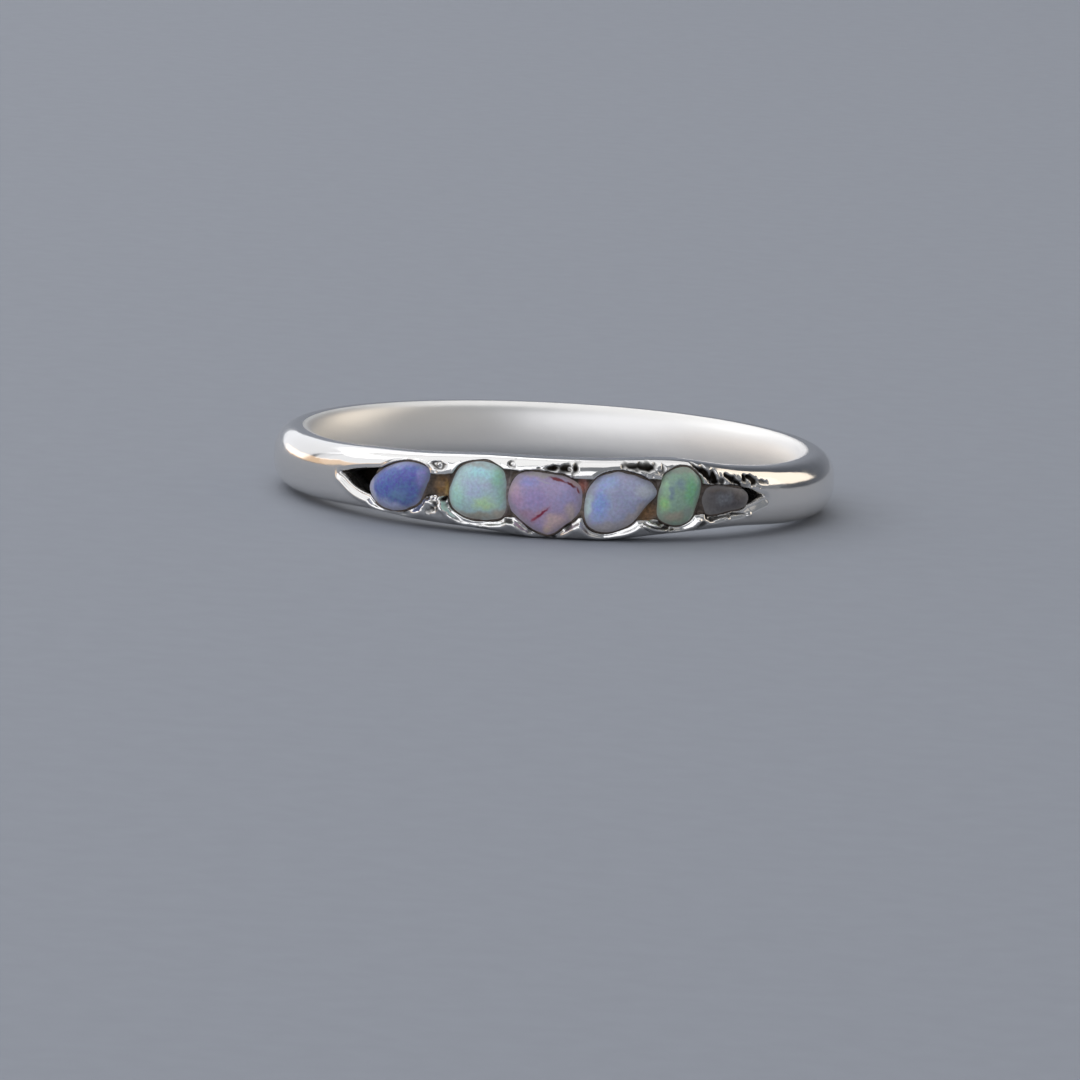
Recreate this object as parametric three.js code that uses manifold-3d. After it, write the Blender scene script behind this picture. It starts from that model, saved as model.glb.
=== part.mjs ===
// A silver finger ring that lies on its side. Its band widens at the front, where a boat-shaped
// channel is carved into the outer face. Six rough opals sit in pockets along the channel, bedded
// in brown resin, and the channel runs out empty to a point at both ends.
//
// Lengths are millimetres and angles are degrees. +Z is up and the opals face -Y. The origin is on
// the axis of the finger hole, on the surface that the ring lies on.
// On the band's face, "along" is the arc length from the middle of the front, towards +X, measured
// at FACE_RADIUS, and "height" is the height above the surface that the ring lies on.

import * as THREE from "three";
import { mergeVertices } from "three/addons/utils/BufferGeometryUtils.js";
import Module from "manifold-3d";

const wasm = await Module();
wasm.setup();

// The band's section: a bowed inner wall, a domed outer face and a narrow flat between them at each
// edge.
const BORE_RADIUS = 8.65; // a US size 7 ring, at the crest of the inner wall
const FLAT_INNER_RADIUS = 9.2;
const FLAT_OUTER_RADIUS = 9.45;
const WALL_SQUARE = 2.2; // the exponent of the inner wall's curve
const WALL_CREST = 0.36; // where the inner wall is nearest the finger, as a share of its height
const WALL_STEPS = 8; // facets of the inner wall, from edge to edge
const FACE_CREST = 0.5; // where the outer face is widest
const FACE_STEPS = 12; // facets of the outer face, from edge to edge
const FRONT_HALF_ANGLE = 60; // the part of the band with fine stations
const FRONT_STATION = 2;
const BACK_STATION = 6;

// One row for each station where the band changes. Low and high are the heights of its two edges,
// outer is its outer radius, and square is the exponent of the face's curve: 2 is an ellipse.
const BAND = [
  { angle: -180, low: 0.0, high: 2.3, outer: 10.25, square: 2.2 },
  { angle: -120, low: 0.0, high: 2.3, outer: 10.25, square: 2.2 },
  { angle: -90, low: 0.14, high: 2.3, outer: 10.3, square: 2.2 },
  { angle: -60, low: 0.24, high: 2.38, outer: 10.32, square: 2.4 },
  { angle: -42, low: 0.34, high: 2.54, outer: 10.38, square: 3.0 },
  { angle: -28, low: 0.24, high: 2.66, outer: 10.45, square: 3.6 },
  { angle: -14, low: 0.16, high: 2.82, outer: 10.5, square: 3.6 },
  { angle: -4, low: 0.0, high: 2.84, outer: 10.5, square: 3.6 },
  { angle: 10, low: 0.0, high: 2.86, outer: 10.5, square: 3.6 },
  { angle: 26, low: 0.26, high: 2.9, outer: 10.48, square: 3.6 },
  { angle: 42, low: 0.38, high: 2.56, outer: 10.4, square: 3.0 },
  { angle: 60, low: 0.24, high: 2.36, outer: 10.32, square: 2.4 },
  { angle: 90, low: 0.12, high: 2.3, outer: 10.3, square: 2.2 },
  { angle: 120, low: 0.0, high: 2.3, outer: 10.25, square: 2.2 },
];

// The channel and what fills it.
const FACE_RADIUS = 10.5; // where lengths along the face are measured
const FLOOR_RADIUS = 9.35; // the bottom of the channel
const CLEAR_RADIUS = 11.2; // cutters reach this far out, past the face
const SEAM = 0.1; // between an opal and the silver round it
const CHANNEL_STEPS = 60;

// The channel's two edges from one pointed end to the other, where it isn't widened by a pocket.
const CHANNEL = [
  { along: -8.75, low: 1.54, high: 1.59 },
  { along: -8.03, low: 1.16, high: 1.76 },
  { along: -7.2, low: 0.94, high: 1.9 },
  { along: -5.8, low: 0.9, high: 2.06 },
  { along: -4.2, low: 1.13, high: 2.14 },
  { along: -2.7, low: 0.84, high: 2.34 },
  { along: -1.65, low: 0.74, high: 2.4 },
  { along: -0.3, low: 0.8, high: 2.26 },
  { along: 1.12, low: 0.86, high: 2.2 },
  { along: 2.4, low: 0.8, high: 2.24 },
  { along: 3.9, low: 0.84, high: 2.24 },
  { along: 5.7, low: 1.0, high: 2.06 },
  { along: 6.8, low: 1.12, high: 1.88 },
  { along: 7.8, low: 1.2, high: 1.82 },
  { along: 8.72, low: 1.46, high: 1.51 },
];

// The resin bed lies on the channel's floor under the opals, and stands up between them.
const BED_GAP = 0.06;
const BED_TOP_RADIUS = 10.1;
const BED_ENDS = [-6.4, 7.3];
const BED_CLEARANCE = 0.09; // from an opal's side
const BED_UNDER = 0.16; // how thick the bed is under an opal

// The opals. Each outline runs anticlockwise through its corners as [along, height], and is
// smoothed between them. Crown is how far the polished top rises above the girdle.
const GIRDLE_RADIUS = 10.22;
const SEAT_GAP = 0.05; // from an opal's underside to the silver under it
const OUTLINE_STEPS = 30;
const BASE_SHRINK = 0.86; // the underside is smaller than the girdle
const CROWN_POWER = 2.8;
const CROWN_RINGS = [0.94, 0.82, 0.62, 0.34];
const OPALS = [
  {
    name: "opal_1_violet",
    colour: 0x5a64ae,
    crown: 0.3,
    outline: [
      [-7.22, 1.24], [-6.9, 0.76], [-6.24, 0.58], [-5.56, 0.69], [-5.04, 0.99],
      [-4.78, 1.6], [-4.72, 2.08], [-5.45, 2.26], [-6.24, 2.08], [-6.94, 1.66],
    ],
  },
  {
    name: "opal_2_mint",
    colour: 0x9fc0c4,
    crown: 0.34,
    outline: [
      [-3.78, 1.4], [-3.66, 0.94], [-3.2, 0.68], [-2.34, 0.61], [-1.78, 0.78], [-1.72, 1.5],
      [-1.86, 2.28], [-2.3, 2.52], [-2.8, 2.54], [-3.42, 2.32], [-3.68, 1.86],
    ],
  },
  {
    name: "opal_3_rose",
    colour: 0x9a86b4,
    crown: 0.26,
    outline: [
      [-1.58, 1.6], [-1.44, 1.02], [-1.02, 0.66], [-0.53, 0.36], [-0.05, 0.22], [0.46, 0.6],
      [0.92, 0.96], [1.06, 1.38], [0.98, 1.88], [0.6, 2.15], [-0.13, 2.32], [-0.8, 2.33], [-1.28, 2.2],
    ],
  },
  {
    name: "opal_4_blue",
    colour: 0x8698c6,
    crown: 0.34,
    outline: [
      [1.22, 1.36], [1.26, 0.84], [1.47, 0.54], [2.05, 0.41], [2.93, 0.73], [3.46, 1.37],
      [3.83, 1.78], [3.68, 2.04], [3.08, 2.32], [2.27, 2.45], [1.6, 2.2], [1.34, 1.84],
    ],
  },
  {
    name: "opal_5_green",
    colour: 0x7fae86,
    crown: 0.34,
    outline: [
      [3.98, 1.42], [4.02, 0.95], [4.3, 0.75], [4.8, 0.67], [5.22, 0.85], [5.44, 1.24],
      [5.6, 1.8], [5.56, 2.22], [5.27, 2.52], [4.82, 2.62], [4.2, 2.37], [4.02, 1.98],
    ],
  },
  {
    name: "opal_6_grey",
    colour: 0x5c5a5c,
    crown: 0.14,
    outline: [
      [5.82, 1.34], [6.0, 1.04], [6.9, 1.1], [7.7, 1.25], [7.82, 1.5], [7.6, 1.73],
      [7.1, 1.85], [6.15, 1.92], [5.86, 1.8],
    ],
  },
];

const SILVER = new THREE.MeshStandardMaterial({ color: 0xe4e2de, metalness: 1, roughness: 0.16 });
const RESIN = new THREE.MeshStandardMaterial({ color: 0x6a4a2c, metalness: 0, roughness: 0.45 });

// The value at t between b and c of a curve through a, b, c and d that stand at ta, tb, tc and td.
function hermite([ta, a], [tb, b], [tc, c], [td, d], t) {
  const span = tc - tb;
  const s = (t - tb) / span;
  const startSlope = ((c - a) / (tc - ta)) * span;
  const endSlope = ((d - b) / (td - tb)) * span;
  return (
    (1 + 2 * s) * (1 - s) ** 2 * b +
    s * (1 - s) ** 2 * startSlope +
    s * s * (3 - 2 * s) * c +
    s * s * (s - 1) * endSlope
  );
}

// A column of the band's table at an angle, with the table repeating every full turn.
function bandValue(column, angle) {
  const n = BAND.length;
  const turned = ((angle + 540) % 360) - 180;
  const row = BAND.findLastIndex((r) => r.angle <= turned + 1e-9);
  const at = (i) => [BAND[(i + n) % n].angle + 360 * Math.floor(i / n), BAND[(i + n) % n][column]];
  return hermite(at(row - 1), at(row), at(row + 1), at(row + 2), turned);
}

// A column of the channel's table, somewhere along the channel.
function channelValue(column, along) {
  const last = CHANNEL.length - 1;
  const row = Math.min(last - 1, Math.max(0, CHANNEL.findLastIndex((r) => r.along <= along)));
  const at = (i) => {
    const r = CHANNEL[Math.min(last, Math.max(0, i))];
    return [r.along + (i < 0 ? -1 : i > last ? 1 : 0), r[column]];
  };
  return hermite(at(row - 1), at(row), at(row + 1), at(row + 2), along);
}

// A point in space from its angle round the finger hole, its radius and its height.
function polar(degrees, radius, height) {
  const a = THREE.MathUtils.degToRad(degrees);
  return new THREE.Vector3(radius * Math.sin(a), -radius * Math.cos(a), height);
}

// A point in space from its place on the band's face and its radius.
function onFace(along, height, radius) {
  return polar(THREE.MathUtils.radToDeg(along / FACE_RADIUS), radius, height);
}

// A closed mesh from points and triangles.
function closedMesh(points, triangles) {
  const geometry = new THREE.BufferGeometry();
  geometry.setAttribute("position", new THREE.Float32BufferAttribute(points.flatMap((p) => p.toArray()), 3));
  geometry.setIndex(triangles);
  return geometry;
}

// The triangles between two neighbouring rings of n points, which start at first and second.
function ringTriangles(first, second, n) {
  const triangles = [];
  for (let j = 0; j < n; j++) {
    const k = (j + 1) % n;
    triangles.push(first + j, first + k, second + k, first + j, second + k, second + j);
  }
  return triangles;
}

// A solid lofted through rings of points from its inner side out, closed by a fan at each end.
function loft(rings, startCentre, endCentre) {
  const n = rings[0].length;
  const points = rings.flat();
  const triangles = [];
  for (let i = 0; i + 1 < rings.length; i++) triangles.push(...ringTriangles(i * n, (i + 1) * n, n));
  const lastRing = (rings.length - 1) * n;
  const start = points.push(startCentre) - 1;
  const end = points.push(endCentre) - 1;
  for (let j = 0; j < n; j++) {
    const k = (j + 1) % n;
    triangles.push(k, j, start, lastRing + j, lastRing + k, end);
  }
  return closedMesh(points, triangles);
}

// Half of the band's section, from one edge to the other, as [radius, height] points. It bulges by
// depth from the flat's radius, most at the crest's share of the height, and is squarer as its
// exponent grows.
function halfSection(flatRadius, depth, square, crest, low, high, steps) {
  const middle = low + crest * (high - low);
  const points = [];
  for (let i = 0; i <= steps; i++) {
    const turn = Math.PI * (i / steps - 0.5);
    const across = i === 0 || i === steps ? 0 : Math.cos(turn) ** (2 / square);
    const up = Math.sign(turn) * Math.abs(Math.sin(turn)) ** (2 / square);
    const reach = up < 0 ? middle - low : high - middle;
    points.push([flatRadius + depth * across, middle + reach * up]);
  }
  return points;
}

// The band's section at an angle, as [radius, height] points that run anticlockwise.
function bandSection(angle) {
  const low = Math.max(0, bandValue("low", angle));
  const high = bandValue("high", angle);
  const bulge = bandValue("outer", angle) - FLAT_OUTER_RADIUS;
  const square = bandValue("square", angle);
  const bow = BORE_RADIUS - FLAT_INNER_RADIUS;
  return [
    ...halfSection(FLAT_OUTER_RADIUS, bulge, square, FACE_CREST, low, high, FACE_STEPS),
    ...halfSection(FLAT_INNER_RADIUS, bow, WALL_SQUARE, WALL_CREST, low, high, WALL_STEPS).reverse(),
  ];
}

// The whole band before anything is cut into it.
function bandBlank() {
  const angles = [];
  for (let a = -FRONT_HALF_ANGLE; a < FRONT_HALF_ANGLE; a += FRONT_STATION) angles.push(a);
  const backStations = Math.round((360 - 2 * FRONT_HALF_ANGLE) / BACK_STATION);
  for (let i = 0; i < backStations; i++)
    angles.push(FRONT_HALF_ANGLE + ((360 - 2 * FRONT_HALF_ANGLE) * i) / backStations);
  const rings = angles.map((a) => bandSection(a).map(([r, h]) => polar(a, r, h)));
  const n = rings[0].length;
  const triangles = [];
  for (let i = 0; i < rings.length; i++)
    triangles.push(...ringTriangles(((i + 1) % rings.length) * n, i * n, n));
  return closedMesh(rings.flat(), triangles);
}

// A bar along the channel between two radii, kept a margin inside the channel's edges.
function channelBar(start, end, innerRadius, outerRadius, margin) {
  const rings = [];
  for (let i = 0; i <= CHANNEL_STEPS; i++) {
    const along = start + ((end - start) * i) / CHANNEL_STEPS;
    const low = channelValue("low", along) + margin;
    const high = channelValue("high", along) - margin;
    rings.push([
      onFace(along, low, innerRadius),
      onFace(along, high, innerRadius),
      onFace(along, high, outerRadius),
      onFace(along, low, outerRadius),
    ]);
  }
  const centre = (ring) => ring.reduce((sum, p) => sum.add(p), new THREE.Vector3()).divideScalar(ring.length);
  return loft(rings, centre(rings[0]), centre(rings.at(-1)));
}

// An opal's smooth outline as [along, height] points, moved out by a margin.
function opalOutline(opal, margin) {
  const curve = new THREE.CatmullRomCurve3(
    opal.outline.map(([along, height]) => new THREE.Vector3(along, height, 0)),
    true,
    "centripetal",
  );
  const points = [];
  for (let i = 0; i < OUTLINE_STEPS; i++) {
    const t = i / OUTLINE_STEPS;
    const point = curve.getPointAt(t);
    const tangent = curve.getTangentAt(t);
    points.push([point.x + tangent.y * margin, point.y - tangent.x * margin]);
  }
  return points;
}

function outlineCentre(outline) {
  const sum = outline.reduce(([a, h], [along, height]) => [a + along, h + height], [0, 0]);
  return sum.map((total) => total / outline.length);
}

// One ring of an opal: its outline shrunk towards its centre, at a radius.
function opalRing(outline, scale, radius) {
  const [a, h] = outlineCentre(outline);
  return outline.map(([along, height]) => onFace(a + (along - a) * scale, h + (height - h) * scale, radius));
}

const OPAL_BASE_RADIUS = FLOOR_RADIUS + BED_GAP + BED_UNDER + BED_GAP;

// An opal: a sloping underside, upright sides to the girdle and a low rounded crown.
function opalGeometry(opal) {
  const outline = opalOutline(opal, 0);
  const crownRadius = (scale) => GIRDLE_RADIUS + opal.crown * (1 - scale ** CROWN_POWER);
  const sideStart = OPAL_BASE_RADIUS + (GIRDLE_RADIUS - OPAL_BASE_RADIUS) / 2;
  const rings = [
    opalRing(outline, BASE_SHRINK, OPAL_BASE_RADIUS),
    opalRing(outline, 1, sideStart),
    opalRing(outline, 1, GIRDLE_RADIUS),
    ...CROWN_RINGS.map((scale) => opalRing(outline, scale, crownRadius(scale))),
  ];
  const [a, h] = outlineCentre(outline);
  return loft(rings, onFace(a, h, OPAL_BASE_RADIUS), onFace(a, h, crownRadius(0)));
}

// What is cut out for an opal, a margin wider than the opal, from a radius outwards.
function pocketGeometry(opal, margin, fromRadius) {
  const outline = opalOutline(opal, margin);
  const [a, h] = outlineCentre(outline);
  return loft(
    [opalRing(outline, 1, fromRadius), opalRing(outline, 1, CLEAR_RADIUS)],
    onFace(a, h, fromRadius),
    onFace(a, h, CLEAR_RADIUS),
  );
}

function toManifold(geometry) {
  const merged = mergeVertices(geometry);
  return new wasm.Manifold(
    new wasm.Mesh({
      numProp: 3,
      vertProperties: merged.attributes.position.array,
      triVerts: new Uint32Array(merged.index.array),
    }),
  );
}

function fromManifold(solid) {
  const mesh = solid.getMesh();
  const geometry = new THREE.BufferGeometry();
  geometry.setAttribute("position", new THREE.BufferAttribute(mesh.vertProperties, 3));
  geometry.setIndex(new THREE.BufferAttribute(mesh.triVerts, 1));
  return geometry;
}

// The band with its channel and an opal-shaped pocket for each stone.
function bandGeometry() {
  const [first, last] = [CHANNEL[0].along, CHANNEL.at(-1).along];
  let band = toManifold(bandBlank());
  band = band.subtract(toManifold(channelBar(first, last, FLOOR_RADIUS, CLEAR_RADIUS, 0)));
  for (const opal of OPALS)
    band = band.subtract(toManifold(pocketGeometry(opal, SEAM, OPAL_BASE_RADIUS - SEAT_GAP)));
  return fromManifold(band);
}

// The resin bed: a bar in the channel with a seat sunk into it for each opal.
function bedGeometry() {
  const [start, end] = BED_ENDS;
  const floor = FLOOR_RADIUS + BED_GAP;
  let bed = toManifold(channelBar(start, end, floor, BED_TOP_RADIUS, BED_GAP));
  for (const opal of OPALS)
    bed = bed.subtract(toManifold(pocketGeometry(opal, BED_CLEARANCE, floor + BED_UNDER)));
  return fromManifold(bed);
}

function namedMesh(name, geometry, material) {
  const flat = geometry.toNonIndexed();
  flat.computeVertexNormals();
  const mesh = new THREE.Mesh(flat, material);
  mesh.name = name;
  return mesh;
}

const ring = new THREE.Group();
ring.add(namedMesh("band", bandGeometry(), SILVER));
ring.add(namedMesh("resin_bed", bedGeometry(), RESIN));
for (const opal of OPALS) {
  const polished = new THREE.MeshStandardMaterial({ color: opal.colour, metalness: 0, roughness: 0.25 });
  ring.add(namedMesh(opal.name, opalGeometry(opal), polished));
}

export default ring;
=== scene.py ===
"""A slim silver ring on its side, with six rough opals bedded in a channel across its front.

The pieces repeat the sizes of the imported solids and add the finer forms: the raised lips round
the stones, the pits, lumps and folds of the carved rims, the tumbled crowns and the resin that
climbs between the stones.

Sizes in tables are millimetres and angles are degrees. On the ring's face, "along" is the arc from
the middle of the front towards +X, measured at FACE_RADIUS, and "height" is the height over the
floor. A "place" is an (along, height) pair.
"""

import logging
import math
from collections.abc import Sequence
from dataclasses import dataclass
from enum import Enum

import bpy
import numpy as np
from mathutils import Matrix, Vector


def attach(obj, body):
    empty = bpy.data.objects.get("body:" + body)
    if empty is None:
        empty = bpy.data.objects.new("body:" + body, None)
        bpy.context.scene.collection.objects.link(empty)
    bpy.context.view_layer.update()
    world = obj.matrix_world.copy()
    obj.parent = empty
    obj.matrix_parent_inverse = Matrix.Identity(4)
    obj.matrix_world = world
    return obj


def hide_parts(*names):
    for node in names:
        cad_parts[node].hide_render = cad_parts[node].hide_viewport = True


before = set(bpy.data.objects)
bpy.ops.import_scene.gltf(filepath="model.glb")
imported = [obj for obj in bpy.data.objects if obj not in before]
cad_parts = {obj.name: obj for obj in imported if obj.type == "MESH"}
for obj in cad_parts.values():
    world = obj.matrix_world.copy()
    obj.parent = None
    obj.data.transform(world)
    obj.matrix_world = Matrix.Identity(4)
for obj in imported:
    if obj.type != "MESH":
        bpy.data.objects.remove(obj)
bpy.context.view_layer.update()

log = logging.getLogger("ring")

MM = 0.001  # metres
FACE_RADIUS = 10.5  # where lengths along the face are measured
RIM_POINTS = 72  # round a stone, where distances to it are measured
CURVE_STEPS = 24  # from one corner of an outline to the next
NOISE_LOW, NOISE_HIGH = 0.3, 0.7  # where most of a noise node's values lie
ROOT = "root"


class Slot(Enum):
    """The record's material slots."""

    SILVER = "silver"
    RESIN = "resin"
    VIOLET = "opal_violet"
    MINT = "opal_mint"
    ROSE = "opal_rose"
    BLUE = "opal_blue"
    GREEN = "opal_green"
    GREY = "opal_grey"


# Small helpers: colours, curves and fields


def linear(colour: str) -> tuple[float, float, float, float]:
    """Turns an sRGB hex colour to linear light.

    Args:
        colour: Six hex digits after a hash sign.

    Returns:
        Red, green, blue and a full alpha.
    """
    parts = [int(colour[i : i + 2], 16) / 255 for i in (1, 3, 5)]
    red, green, blue = (c / 12.92 if c <= 0.04045 else ((c + 0.055) / 1.055) ** 2.4 for c in parts)
    return red, green, blue, 1.0


def smoothstep(low: float, high: float, at: np.ndarray) -> np.ndarray:
    """Rises smoothly from 0 at low to 1 at high, or falls where low is above high."""
    t = np.clip((at - low) / (high - low), 0.0, 1.0)
    return t * t * (3.0 - 2.0 * t)


def hermite(
    t: np.ndarray, start: np.ndarray, slope_in: np.ndarray, end: np.ndarray, slope_out: np.ndarray
) -> np.ndarray:
    """Runs a smooth curve between two points.

    Args:
        t: Where to read, from 0 at the start to 1 at the end.
        start: The first point.
        slope_in: The slope there.
        end: The last point.
        slope_out: The slope there.

    Returns:
        The curve's points.
    """
    return (
        (1 + 2 * t) * (1 - t) ** 2 * start
        + t * (1 - t) ** 2 * slope_in
        + t * t * (3 - 2 * t) * end
        + t * t * (t - 1) * slope_out
    )


def through(places: np.ndarray, values: np.ndarray, at: np.ndarray) -> np.ndarray:
    """Reads a smooth curve through a table's rows.

    Args:
        places: Where the rows stand, rising, with one row more at each end than is read.
        values: The rows' values.
        at: Where to read, between the second row and the last but one.

    Returns:
        The curve's values.
    """
    row = np.clip(np.searchsorted(places, at, side="right") - 1, 1, len(places) - 3)
    span = places[row + 1] - places[row]
    t = (at - places[row]) / span
    slope_in = (values[row + 1] - values[row - 1]) / (places[row + 1] - places[row - 1]) * span
    slope_out = (values[row + 2] - values[row]) / (places[row + 2] - places[row]) * span
    return hermite(t, values[row], slope_in, values[row + 1], slope_out)


def closed_curve(corners: Sequence[tuple[float, float]], count: int) -> np.ndarray:
    """Runs a smooth closed curve through corners, with evenly spaced points.

    Args:
        corners: The corners, in order.
        count: How many points to return.

    Returns:
        The points, one row each.
    """
    knots = np.array(corners, float)
    steps = np.sqrt(np.linalg.norm(np.roll(knots, -1, axis=0) - knots, axis=1))
    dense: list[np.ndarray] = []
    t = np.linspace(0, 1, CURVE_STEPS, endpoint=False)[:, None]
    for i in range(len(knots)):
        p0, p1, p2, p3 = (knots[(i + k) % len(knots)] for k in (-1, 0, 1, 2))
        d0, d1, d2 = (steps[(i + k) % len(knots)] for k in (-1, 0, 1))
        start = ((p1 - p0) / d0 - (p2 - p0) / (d0 + d1) + (p2 - p1) / d1) * d1
        end = ((p2 - p1) / d1 - (p3 - p1) / (d1 + d2) + (p3 - p2) / d2) * d1
        dense.append(hermite(t, p1, start, p2, end))
    points = np.concatenate([*dense, knots[:1]])
    run = np.concatenate([[0.0], np.cumsum(np.linalg.norm(np.diff(points, axis=0), axis=1))])
    even = np.linspace(0, run[-1], count, endpoint=False)
    return np.stack([np.interp(even, run, points[:, k]) for k in (0, 1)], axis=1)


def signed_distance(places: np.ndarray, outline: np.ndarray) -> np.ndarray:
    """Measures how far places are from a closed outline, less than 0 inside it.

    Args:
        places: The places, one row each.
        outline: The outline's points.

    Returns:
        A distance for each place.
    """
    nearest = np.full(len(places), np.inf)
    inside = np.zeros(len(places), bool)
    for start, edge in zip(outline, np.roll(outline, -1, axis=0) - outline):
        from_start = places - start
        t = np.clip(from_start @ edge / (edge @ edge), 0, 1)
        away = np.hypot(from_start[:, 0] - t * edge[0], from_start[:, 1] - t * edge[1])
        nearest = np.minimum(nearest, away)
        if edge[1] != 0:
            crosses = (from_start[:, 1] < 0) != (from_start[:, 1] < edge[1])
            inside ^= crosses & (from_start[:, 0] < from_start[:, 1] * edge[0] / edge[1])
    return np.where(inside, -nearest, nearest)


@dataclass(frozen=True)
class Swells:
    """Smooth random swells over the face."""

    ROWS = 256  # more than the face's height needs

    size: float  # how far apart they are
    seed: int
    reach: float = 1.0  # how far they go to both sides of 0

    def at(self, along: np.ndarray, height: np.ndarray) -> np.ndarray:
        """Reads the swells.

        Args:
            along: Places along the face.
            height: Their heights.

        Returns:
            The swells' values there.
        """
        turn = 2 * math.pi * FACE_RADIUS
        columns = round(turn / self.size)
        numbers = np.random.default_rng(self.seed).uniform(-1, 1, (columns, self.ROWS))
        x = (along % turn) / turn * columns
        y = height / self.size + self.ROWS / 2
        i, j = np.floor(x).astype(int), np.floor(y).astype(int)
        fx, fy = smoothstep(0, 1, x - i), smoothstep(0, 1, y - j)
        left = numbers[i % columns, j] * (1 - fy) + numbers[i % columns, j + 1] * fy
        right = numbers[(i + 1) % columns, j] * (1 - fy) + numbers[(i + 1) % columns, j + 1] * fy
        return self.reach * (left * (1 - fx) + right * fx)


def on_face(along: np.ndarray, height: np.ndarray, radius: np.ndarray) -> np.ndarray:
    """Turns places and radii to points in metres.

    Args:
        along: Places along the face.
        height: Their heights.
        radius: Their distances from the ring's axis.

    Returns:
        Points, with x, y and z last.
    """
    angle = along / FACE_RADIUS
    axes = np.broadcast_arrays(radius * np.sin(angle), -radius * np.cos(angle), height)
    return np.stack(axes, axis=-1) * MM


# Small helpers: meshes and nodes


def make_piece(
    name: str, points: np.ndarray, faces: Sequence[Sequence[int]], material: bpy.types.Material
) -> bpy.types.Object:
    """Makes a smooth mesh piece.

    Args:
        name: The piece's name.
        points: Its points, one row each, in metres.
        faces: Its faces, as lists of point numbers.
        material: Its finish.

    Returns:
        The piece.
    """
    mesh = bpy.data.meshes.new(name)
    mesh.from_pydata(points.tolist(), [], faces)
    mesh.polygons.foreach_set("use_smooth", np.ones(len(mesh.polygons), bool))
    mesh.materials.append(material)
    mesh.update()
    piece = bpy.data.objects.new(name, mesh)
    bpy.context.scene.collection.objects.link(piece)
    return piece


def grid_faces(rows: int, columns: int, wrap_rows: bool, wrap_columns: bool) -> list[list[int]]:
    """Joins a grid of points, numbered row by row, into four-sided faces.

    Args:
        rows: How many rows of points there are.
        columns: How many points are in a row.
        wrap_rows: Whether the last row joins the first.
        wrap_columns: Whether the last point of a row joins its first.

    Returns:
        The faces.
    """
    i, j = np.meshgrid(
        np.arange(rows if wrap_rows else rows - 1),
        np.arange(columns if wrap_columns else columns - 1),
        indexing="ij",
    )
    down, over = (i + 1) % rows, (j + 1) % columns
    corners = [i * columns + j, i * columns + over, down * columns + over, down * columns + j]
    return np.stack(corners, axis=-1).reshape(-1, 4).tolist()


def add_node(
    tree: bpy.types.NodeTree, kind: str, inputs: dict[int | str, object] | None = None, **settings: object
) -> bpy.types.Node:
    """Adds a node with its settings, values and links.

    Args:
        tree: Where the node goes.
        kind: The shader node's type, without that word.
        inputs: A value, or the socket to link from, for each input by name or number.
        **settings: The node's own options.

    Returns:
        The node.
    """
    node = tree.nodes.new("ShaderNode" + kind)
    for name, value in settings.items():
        setattr(node, name, value)
    for name, value in (inputs or {}).items():
        if isinstance(value, bpy.types.NodeSocket):
            tree.links.new(value, node.inputs[name])
        else:
            node.inputs[name].default_value = value
    return node


def new_material(name: str) -> tuple[bpy.types.Material, bpy.types.NodeTree]:
    """Starts a material with an empty tree.

    Args:
        name: The material's name.

    Returns:
        The material and its tree.
    """
    material = bpy.data.materials.new(name)
    material.use_nodes = True
    material.node_tree.nodes.clear()
    return material, material.node_tree


def face_place(tree: bpy.types.NodeTree) -> bpy.types.NodeSocket:
    """Adds the nodes that work out where a point is on the ring's face.

    Args:
        tree: The material's tree.

    Returns:
        A vector socket: along, height and the distance from the ring's axis, in millimetres.
    """
    seen = add_node(tree, "TexCoord").outputs["Object"]
    axes = add_node(tree, "SeparateXYZ", {0: seen})
    forward = add_node(tree, "Math", {0: axes.outputs["Y"], 1: -1.0}, operation="MULTIPLY")
    angle = add_node(tree, "Math", {0: axes.outputs["X"], 1: forward.outputs[0]}, operation="ARCTAN2")
    along = add_node(tree, "Math", {0: angle.outputs[0], 1: FACE_RADIUS}, operation="MULTIPLY")
    height = add_node(tree, "Math", {0: axes.outputs["Z"], 1: 1 / MM}, operation="MULTIPLY")
    level = add_node(tree, "VectorMath", {0: seen, 1: (1 / MM, 1 / MM, 0.0)}, operation="MULTIPLY")
    radius = add_node(tree, "VectorMath", {0: level.outputs[0]}, operation="LENGTH")
    place = add_node(
        tree, "CombineXYZ", {0: along.outputs[0], 1: height.outputs[0], 2: radius.outputs["Value"]}
    )
    return place.outputs[0]


# Finishes


@dataclass(frozen=True)
class FineRelief:
    """Relief that is too low for the mesh, with its size and depth in millimetres."""

    size: float
    depth: float
    strength: float
    detail: float
    roughness: float = 0.5  # the share of the finer swells

    def lay(
        self,
        tree: bpy.types.NodeTree,
        place: bpy.types.NodeSocket,
        under: bpy.types.NodeSocket | None = None,
    ) -> bpy.types.NodeSocket:
        """Lays the relief on a surface.

        Args:
            tree: The material's tree.
            place: Where a point is on the face.
            under: The normal of the relief under this one, if there is one.

        Returns:
            The normal with the relief.
        """
        swells = add_node(
            tree,
            "TexNoise",
            {"Vector": place, "Scale": 1 / self.size, "Detail": self.detail, "Roughness": self.roughness},
        )
        bump = add_node(
            tree,
            "Bump",
            {"Strength": self.strength, "Distance": self.depth * MM, "Height": swells.outputs["Fac"]},
        )
        if under is not None:
            tree.links.new(under, bump.inputs["Normal"])
        return bump.outputs[0]


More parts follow.
